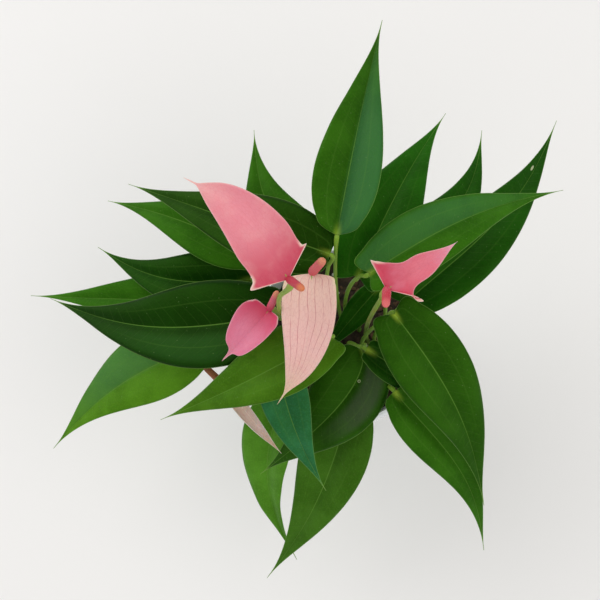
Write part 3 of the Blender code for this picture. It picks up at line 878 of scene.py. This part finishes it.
def add_soil():
    """Uneven packed soil with loose crumbs, bark chips and a few pale grains on top."""
    low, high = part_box("soil")
    radius, top = high.x, high.z
    points, kind = [], []
    for ring in range(SOIL_RINGS + 1):
        r = radius * (ring + 0.5) / (SOIL_RINGS + 0.5)
        for i in range(SOIL_SIDES):
            a = 2 * math.pi * i / SOIL_SIDES
            x, y = r * math.cos(a), r * math.sin(a)
            points.append((x, y, soil_height(x, y, top) - 0.6 * MM * (ring == SOIL_RINGS)))
            kind.append(0.1)
    index = np.arange(len(points)).reshape(SOIL_RINGS + 1, SOIL_SIDES)
    ahead = np.roll(index, -1, axis=1)
    corners = [index[:-1], index[1:], ahead[1:], ahead[:-1]]
    faces = np.stack(corners, axis=-1).reshape(-1, 4).tolist()
    faces.append(list(index[0]))
    skirt = np.arange(SOIL_SIDES) + len(points)
    points += [(x * 0.98, y * 0.98, top - SOIL_DEPTH) for x, y, z in points[-SOIL_SIDES:]]
    kind += [0.1] * SOIL_SIDES
    faces += [[a, b, c, d] for a, b, c, d in zip(index[-1], skirt, np.roll(skirt, -1), ahead[-1])]
    faces.append(list(skirt[::-1]))
    chance = np.random.default_rng(11)
    ball = bmesh.new()
    bmesh.ops.create_icosphere(ball, subdivisions=2, radius=1)
    shape = np.array([v.co for v in ball.verts])
    shape_faces = [[v.index for v in f.verts] for f in ball.faces]
    ball.free()
    for crumb in range(CRUMBS):
        r = radius * 0.97 * math.sqrt(chance.random())
        a = chance.random() * 2 * math.pi
        what = chance.random()
        size = MM * (0.7 + 1.3 * chance.random() ** 2) * (1.5 if what > BARK_SHARE else 1)
        if what < BARK_SHARE:
            stretch = np.array([1, 0.7 + 0.3 * chance.random(), 0.55])
        else:
            stretch = np.array([1.3, 0.7, 0.35])
        if what > GRAIN_SHARE:
            stretch, size = np.array([1, 0.9, 0.8]), 1.1 * MM
        spin = Matrix.Rotation(chance.random() * 6.28, 3, "Z")
        turn = spin @ Matrix.Rotation(chance.normal() * 0.35, 3, "X")
        shift = Vector((chance.random() * 50, 0, 0))
        bumpy = np.array([1 + 0.35 * noise.noise(Vector(p) * 1.6 + shift) for p in shape])
        local = (shape * bumpy[:, None] * stretch * size) @ np.array(turn).T
        x, y = r * math.cos(a), r * math.sin(a)
        centre = np.array([x, y, soil_height(x, y, top) + 0.25 * size])
        faces += [[i + len(points) for i in face] for face in shape_faces]
        points += [tuple(p) for p in local + centre]
        kind += [float(what)] * len(shape)
    piece("potting_soil", points, faces, [soil_material()], ["soil"], {"kind": kind})


add_pot()
add_soil()
petiole_look = stalk_material("petiole_green", (0.080, 0.190, 0.010), (0.180, 0.350, 0.020), 0.12)
peduncle_look = stalk_material("peduncle_green", (0.095, 0.170, 0.018), (0.220, 0.320, 0.040), 0.25)
for number in LEAF_LOOKS:
    end = stalk_rings("petiole_" + number)[0][-1]
    sheet, normal = add_blade(number, end)
    add_stalk("petiole_" + number, sheet, normal, petiole_look, "leaf_stalk_" + number, LEAF_MERGE)
for number in SPATHE_LOOKS:
    end = stalk_rings("peduncle_" + number)[0][-1]
    sheet, normal = add_spathe(number, end)
    add_stalk("peduncle_" + number, sheet, normal, peduncle_look, "flower_stalk_" + number, SPATHE_MERGE)
    add_spadix(number, sheet[0, sheet.shape[1] // 2])


# Floor, light and camera


def add_floor():
    """A plain pale floor at the height of the pot's foot."""
    low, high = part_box("pot")
    size = FLOOR_HALF_SIZE
    mesh = bpy.data.meshes.new("floor")
    corners = [(-size, -size, low.z), (size, -size, low.z), (size, size, low.z), (-size, size, low.z)]
    mesh.from_pydata(corners, [], [(0, 1, 2, 3)])
    n = Nodes("floor_paint")
    tint = n.mix(n.noise(1.6, 2), (0.835, 0.83, 0.82), (0.87, 0.867, 0.86))
    n.set(Base_Color=tint, Roughness=n.math("MULTIPLY_ADD", n.noise(30, 2), 0.1, 0.60))
    mesh.materials.append(n.material)
    floor = bpy.data.objects.new("floor", mesh)
    bpy.context.scene.collection.objects.link(floor)


def add_world(colour, strength):
    world = bpy.data.worlds.new("studio")
    world.use_nodes = True
    background = world.node_tree.nodes["Background"]
    background.inputs["Color"].default_value = (*colour, 1)
    background.inputs["Strength"].default_value = strength
    bpy.context.scene.world = world


def add_light(name, place, aim, size, power, colour):
    light = bpy.data.lights.new(name, "AREA")
    light.shape = "RECTANGLE"
    light.size, light.size_y = size
    light.energy = power
    light.color = colour
    made = bpy.data.objects.new(name, light)
    made.location = place
    made.rotation_mode = "QUATERNION"
    made.rotation_quaternion = (Vector(aim) - Vector(place)).to_track_quat("-Z", "Y")
    bpy.context.scene.collection.objects.link(made)


def add_camera():
    """Nearly straight down, from a little in front of the plant and to its right."""
    data = bpy.data.cameras.new("camera")
    data.sensor_width = CAMERA_SENSOR
    data.lens = CAMERA_LENS
    camera = bpy.data.objects.new("camera", data)
    place = Vector(CAMERA_PLACE)
    target = Vector(CAMERA_TARGET)
    back = (place - target).normalized()
    right = Vector((0, 1, 0)).cross(back).normalized()
    upward = back.cross(right)
    camera.matrix_world = Matrix((
        (right.x, upward.x, back.x, place.x),
        (right.y, upward.y, back.y, place.y),
        (right.z, upward.z, back.z, place.z),
        (0, 0, 0, 1),
    ))
    bpy.context.scene.collection.objects.link(camera)
    bpy.context.scene.camera = camera


add_world(colour=(1.0, 0.995, 0.99), strength=0.66)
add_floor()
add_light(
    "window",
    place=(-1.1, 0.9, 1.5),
    aim=(0, 0, 0.15),
    size=(2.0, 2.0),
    power=16.5,
    colour=(1.0, 0.99, 0.975),
)
add_light(
    "fill",
    place=(1.2, -0.6, 1.6),
    aim=(0, 0, 0.1),
    size=(2.2, 2.2),
    power=14,
    colour=(1.0, 0.955, 0.925),
)
add_camera()
bpy.context.scene.view_settings.view_transform = "Standard"
